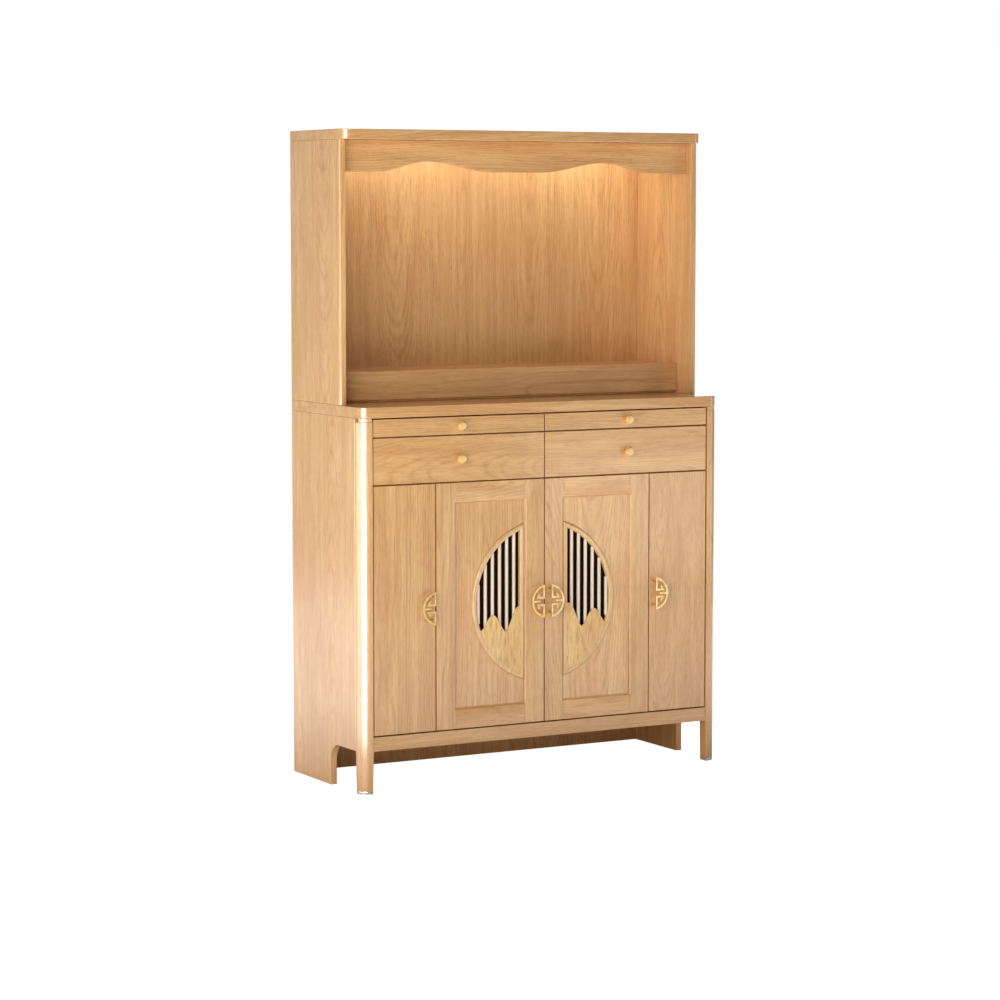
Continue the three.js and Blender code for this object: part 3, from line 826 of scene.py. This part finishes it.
def slat_row():
    """Upright slats with half-round fronts, let into the ring at both ends."""
    mesh = bmesh.new()
    x = ring_flat + ring_bar + first_slat_gap
    inner = ring_radius - ring_band
    while x + slat_width < inner:
        front = door_face + slat_setback
        reach = math.sqrt((inner + slat_seat) ** 2 - (x + slat_width) ** 2)
        plan = rounded([
            (x + slat_width, front + slat_thickness, 0),
            (x, front + slat_thickness, 0),
            (x, front, slat_round),
            (x + slat_width, front, slat_round),
        ], 6)
        slat = prism(plan, in_plan, door_mid - reach, door_mid + reach)
        data = bpy.data.meshes.new("slat")
        slat.to_mesh(data)
        mesh.from_mesh(data)
        bpy.data.meshes.remove(data)
        x += slat_pitch
    return mesh


def hill_height(x):
    """Height of the hills' outline above the middle of the ring."""
    along = x / ring_radius
    after = next((i for i, (place, _) in enumerate(hills) if place > along), len(hills) - 1)
    first, second = hills[max(after, 1) - 1], hills[max(after, 1)]
    low, high = sorted((first, second), key=lambda point: point[1])
    share = min(1.0, max(0.0, (along - low[0]) / (high[0] - low[0])))
    lift = math.sin(share * math.pi / 2) ** hill_roundness
    return ring_radius * (low[1] + (high[1] - low[1]) * lift)


def hill_panel():
    """The low panel of two hills, let into the rounded edge of the ring and its bar."""
    left = ring_flat + ring_bar - hill_lap
    radius = ring_radius - ring_band + hill_lap
    steps = 120
    outline = []
    for i in range(steps + 1):
        x = left + (radius - left) * i / steps
        z = hill_height(x)
        if math.hypot(x, z) > radius:
            break
        outline.append((x, door_mid + z))
    last_x, last_z = outline[-1]
    start = math.degrees(math.atan2(last_z - door_mid, last_x)) - 1
    end = -math.degrees(math.acos(left / radius))
    outline += arc(0, door_mid, radius, start, end, 60)
    front = door_face + hill_setback
    return prism(outline, in_front, front, door_face + slat_setback - joint_gap)


def make_lattices():
    pair("moon_lattice", half_ring(), "oak", along="z", ease=0, finish="ring_wood")
    # The slats take the paler oak copy, which is partly a painted highlight.
    pair("moon_lattice", slat_row(), "oak", along="z", ease=0, finish="slat_wood")
    pair("mountain_panel", hill_panel(), "hill_wood", along="z", ease=0.0009)


def handle():
    """One fretwork handle, its flat side towards -X, standing out towards -Y from y = 0."""
    inner = handle_radius - handle_bar
    front = -handle_standoff - handle_plate
    back = -handle_standoff
    plate = prism(segment(handle_radius, handle_flat, 64), in_front, front, back)
    hollow = segment(inner, handle_flat + handle_bar, 64)
    hollow = prism(hollow, in_front, front - 0.001, back + 0.001)
    half_gap = handle_gap / 2
    gap = block(
        (0, front - 0.001, -half_gap),
        (handle_flat + handle_bar + 0.001, back + 0.001, half_gap),
    )
    rim = combined(plate, [hollow, gap], "DIFFERENCE")
    half_bar = handle_bar / 2
    stub = block((handle_stub, front, -half_bar), (inner + 0.001, back, half_bar))
    parts = [stub]
    outer_hook = handle_hook_radius + half_bar
    inner_hook = handle_hook_radius - half_bar
    start = math.degrees(math.asin(half_gap / outer_hook))
    end = math.degrees(math.asin((half_gap + handle_bar) / inner_hook))
    for side in (1, -1):
        hook = [(handle_flat, half_gap)]
        hook += arc(0, 0, outer_hook, start, handle_hook_angle, 20)
        hook += arc(0, 0, inner_hook, handle_hook_angle, end, 16)
        hook += [(handle_flat, half_gap + handle_bar)]
        parts.append(prism([(a, side * b) for a, b in hook], in_front, front, back))
        post_x = handle_flat + handle_post_radius
        post_z = side * handle_post_height
        parts.append(rod(post_x, post_z, handle_post_radius, back - handle_plate / 2, 0))
    return combined(rim, parts, "UNION")


def make_handles():
    shape = handle()
    for kind in ("inner", "outer"):
        low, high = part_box(f"right_{kind}_handle")
        place = (high.x - handle_radius, high.y, (low.z + high.z) / 2)
        pair(f"{kind}_handle", moved(shape, *place), "brass", along="z", ease=0.0008, limit=50)
    shape.free()


def make_outer_doors():
    copied_pair("outer_door", "oak", along="z", ease=0.0012)


make_posts()
make_side_panels()
make_front_rail()
make_round_fronted_boards()
make_niche_sides()
make_valance()
make_step()
make_plain_boards()
make_drawers()
make_outer_doors()
make_door_frames()
make_door_panels()
make_lattices()
make_handles()


# Floor, light and camera

floor_white = 0.97
floor_glow = 1.22
glow_rise = 1.2
glow_fade = (3.0, 5.0)
sky_light = 0.05
lamp_tint = (0.88, 1.0, 1.0)
sheen_reach = 0.6
post_takers = (
    "left_front_post_oak", "left_post_collar_oak", "left_foot_cap_steel", "left_side_panel_oak",
    "left_niche_side_oak",
)
board_takers = ("countertop_oak", "niche_top_oak")


def make_floor():
    """Pale studio floor. It glows softly to stay near white, and gives no light under the cabinet."""
    mesh = bmesh.new()
    bmesh.ops.create_grid(mesh, x_segments=8, y_segments=8, size=60)
    floor = as_object("studio_floor", mesh)
    g = Graph("studio_floor")
    place = g.add("ShaderNodeTexCoord").outputs["Object"]
    cloud = g.noise(place, (0.8, 0.8, 0.8)).outputs[0]
    shade = g.mix(cloud, colour(246, 246, 246), colour(242, 242, 241))
    low, high = cad_box
    aside = g.vector("SUBTRACT", g.vector("ABSOLUTE", place), (high.x, high.y, 0))
    outside = g.vector("MAXIMUM", aside, (0, 0, 0))
    distance = g.add("ShaderNodeVectorMath", {0: outside}, operation="LENGTH").outputs["Value"]
    risen = g.spread(distance, 0.0, glow_rise, 0.0, floor_glow)
    given = g.math("MULTIPLY", risen, g.spread(distance, *glow_fade, 1.0, 0.0))
    seen = g.add("ShaderNodeLightPath").outputs["Is Camera Ray"]
    glow = g.add("ShaderNodeMix", {0: seen, 2: given, 3: floor_white}).outputs[0]
    floor.data.materials.append(g.finish({
        "Base Color": shade,
        "Roughness": 0.9,
        "Emission Color": (1, 1, 1, 1),
        "Emission Strength": glow,
    }))


def make_sky():
    """White all round, dimmer as light than as background."""
    world = bpy.data.worlds.new("studio")
    scene.world = world
    world.use_nodes = True
    tree = world.node_tree
    tree.nodes.clear()
    seen = tree.nodes.new("ShaderNodeLightPath").outputs["Is Camera Ray"]
    strength = tree.nodes.new("ShaderNodeMapRange")
    strength.name = "sky_strength"
    tree.links.new(seen, strength.inputs[0])
    strength.inputs[3].default_value = sky_light
    strength.inputs[4].default_value = 1.0
    background = tree.nodes.new("ShaderNodeBackground")
    background.inputs[0].default_value = (1, 1, 1, 1)
    tree.links.new(strength.outputs[0], background.inputs[1])
    output = tree.nodes.new("ShaderNodeOutputWorld")
    tree.links.new(background.outputs[0], output.inputs[0])


def area_light(name, place, target, size, power, tint=(1, 1, 1)):
    data = bpy.data.lights.new(name, "AREA")
    data.shape = "RECTANGLE"
    data.size, data.size_y = size
    data.energy = power
    data.color = tint
    light = bpy.data.objects.new(name, data)
    light.location = place
    light.rotation_euler = (Vector(target) - Vector(place)).to_track_quat("-Z", "Y").to_euler()
    light.visible_camera = False
    scene.collection.objects.link(light)
    return light


def panel_round(name, middle, turn, reach, span, width, glare):
    """An upright panel round a point: turn is counted from the front towards the left side."""
    angle = math.radians(turn)
    bottom, top = span
    height = (bottom + top) / 2
    x, y = middle
    place = (x - reach * math.sin(angle), y - reach * math.cos(angle), height)
    size = (width, top - bottom)
    power = glare * math.pi * size[0] * size[1]
    return area_light(name, place, (x, y, height), size, power)


def make_lights():
    centre = (0, 0)
    panel_round("key_softbox", centre, 50, 3.3, (0.2, 2.6), 2.4, 3.7)
    panel_round("side_softbox", centre, 92, 3.2, (0.2, 2.4), 1.8, 0.45)
    panel_round("right_key", centre, -62, 3.3, (0.2, 2.2), 0.8, 3.0)
    panel_round("rear_left", centre, 155, 3.6, (-0.3, 2.6), 2.6, 0.45)
    panel_round("rear_right", centre, -135, 3.6, (0.1, 2.4), 2.4, 1.6)

    # From above and behind, so it reaches the top board but neither the countertop nor the sides.
    area_light("top_light", (0, 0.9, 3.2), (0, 0.06, cad_box[1].z), (1.0, 0.6), 26)

    # A low panel mirrored as a soft haze in the fronts right of the middle.
    haze = panel_round("right_sheen", centre, -35, 2.7, (0.28, 0.74), 0.76, 2.2)

    # Panels near the left corners, seen only as reflections in what is rounded there.
    low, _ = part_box("left_front_post")
    _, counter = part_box("countertop")
    corner = (low.x, low.y)
    post_span = (0.02, counter.z - 0.02)
    near = panel_round("post_sheen", corner, 43, sheen_reach, post_span, 0.54, 14)
    wide = panel_round("post_sheen_side", corner, 100, sheen_reach, post_span, 0.62, 4)
    edge_span = (counter.z - 0.09, counter.z - 0.01)
    edge = panel_round("edge_sheen", corner, 43, sheen_reach, edge_span, 0.54, 14)
    low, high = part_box("niche_top")
    top_span = (high.z - 0.008, high.z + 0.11)
    top = panel_round("top_sheen", (low.x, low.y), 43, sheen_reach, top_span, 0.56, 13)
    for panel in (haze, near, wide, edge, top):
        panel.visible_diffuse = False
    for name, takers, panels in (
        ("post_pieces", post_takers, (near, wide)),
        ("board_pieces", board_takers, (edge, top)),
    ):
        pieces = bpy.data.collections.new(name)
        for taker in takers:
            pieces.objects.link(bpy.data.objects[taker])
        for panel in panels:
            panel.light_linking.receiver_collection = pieces

    low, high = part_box("niche_back")
    for x in (-0.25, 0.25):
        place = (x, low.y - 0.085, high.z - 0.015)
        area_light("niche_lamp", place, (x, low.y - 0.02, high.z - 0.2), (0.46, 0.03), 0.40, lamp_tint)


def make_camera():
    data = bpy.data.cameras.new("camera")
    data.lens = camera_lens
    data.sensor_width = 36
    camera = bpy.data.objects.new("camera", data)
    camera.location = camera_place
    pitch = math.radians(90 + camera_pitch)
    camera.rotation_euler = (pitch, 0, math.radians(camera_turn))
    scene.collection.objects.link(camera)
    scene.camera = camera


make_floor()
make_sky()
make_lights()
make_camera()
scene.view_settings.view_transform = "Standard"
